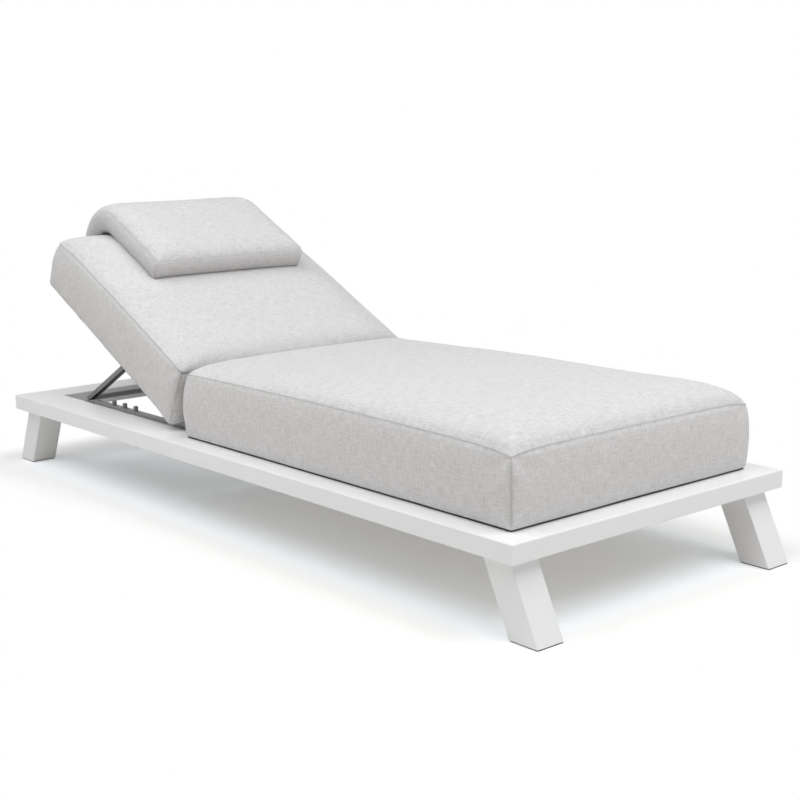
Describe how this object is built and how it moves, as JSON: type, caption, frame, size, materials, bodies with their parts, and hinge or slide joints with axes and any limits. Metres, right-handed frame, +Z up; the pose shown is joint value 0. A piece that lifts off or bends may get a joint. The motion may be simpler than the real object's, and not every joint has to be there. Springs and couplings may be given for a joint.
{
  "type": "relaxation lounger",
  "caption": "Low metal platform lounger on splayed legs, with a thick seat cushion, a tilting back section on a folding prop, and a head pillow hooked over its end.",
  "frame": {"origin": "on the floor under the middle of the platform", "axes": "+X towards the foot end, +Z up, +Y to the left of a person lying on it"},
  "size_m": [2.0796, 0.81, 0.7353],
  "materials": {
    "frame_white": "satin powder coat",
    "mechanism_grey": "satin powder coat",
    "upholstery": "woven melange",
    "hardware_steel": "zinc plated",
    "black_plastic": "matte",
    "black_rubber": "matte",
    "plywood": "clear lacquer"
  },
  "bodies": {
    "base": {"rail_near": "frame_white", "rail_far": "frame_white", "rail_head": "frame_white", "rail_foot": "frame_white", "leg_head_near": "frame_white", "leg_head_far": "frame_white", "leg_foot_near": "frame_white", "leg_foot_far": "frame_white", "leg_plate_head_near": "frame_white", "leg_plate_head_far": "frame_white", "leg_plate_foot_near": "frame_white", "leg_plate_foot_far": "frame_white", "glide_head_near": "black_plastic", "glide_head_far": "black_plastic", "glide_foot_near": "black_plastic", "glide_foot_far": "black_plastic", "leg_bolts": "hardware_steel", "leg_nuts": "hardware_steel", "hinge_beam": "mechanism_grey", "seat_cross_bars": "frame_white", "seat_board": "plywood", "seat_mat": "black_rubber", "seat_cushion": "upholstery", "rack_near": "mechanism_grey", "rack_far": "mechanism_grey", "rack_pegs": "mechanism_grey", "rack_end_blocks": "mechanism_grey", "slide_ledge_near": "mechanism_grey", "slide_ledge_far": "mechanism_grey", "hinge_cheeks_near": "mechanism_grey", "hinge_cheeks_far": "mechanism_grey", "hinge_pins": "hardware_steel", "hinge_pin_clips": "hardware_steel"},
    "back": {"back_bar_near": "mechanism_grey", "back_bar_far": "mechanism_grey", "back_head_bar": "mechanism_grey", "back_foot_bar": "mechanism_grey", "back_slats": "mechanism_grey", "hinge_ear_near": "mechanism_grey", "hinge_ear_far": "mechanism_grey", "hinge_bushes": "black_plastic", "back_bumpers": "black_rubber", "prop_pivot_pins": "hardware_steel", "prop_pivot_clips": "hardware_steel", "back_cushion": "upholstery"},
    "prop": {"prop_arm_near": "mechanism_grey", "prop_arm_far": "mechanism_grey", "prop_foot_bar": "mechanism_grey", "prop_end_caps": "black_plastic"},
    "pillow": {"head_pillow": "upholstery"}
  },
  "joints": [
    {"name": "back_tilt", "type": "hinge", "parent": "base", "child": "back", "pos_m": [-0.25738, 0, 0.196], "axis": [0, 1, 0], "range_deg": [-26.3, 37.4], "deforming": ["back_cushion"]},
    {"name": "prop_fold", "type": "hinge", "parent": "back", "child": "prop", "pos_m": [-0.52767, 0, 0.34576], "axis": [0, 1, 0], "range_deg": [-74.8, 52.6]},
    {"name": "pillow_lift", "type": "slide", "parent": "back", "child": "pillow", "axis": [-0.8965, 0, 0.4431], "range_m": [0, 0.12]}
  ],
  "couplings": [
    {"joint": "prop_fold", "follows": "back_tilt", "ratio": -2}
  ]
}
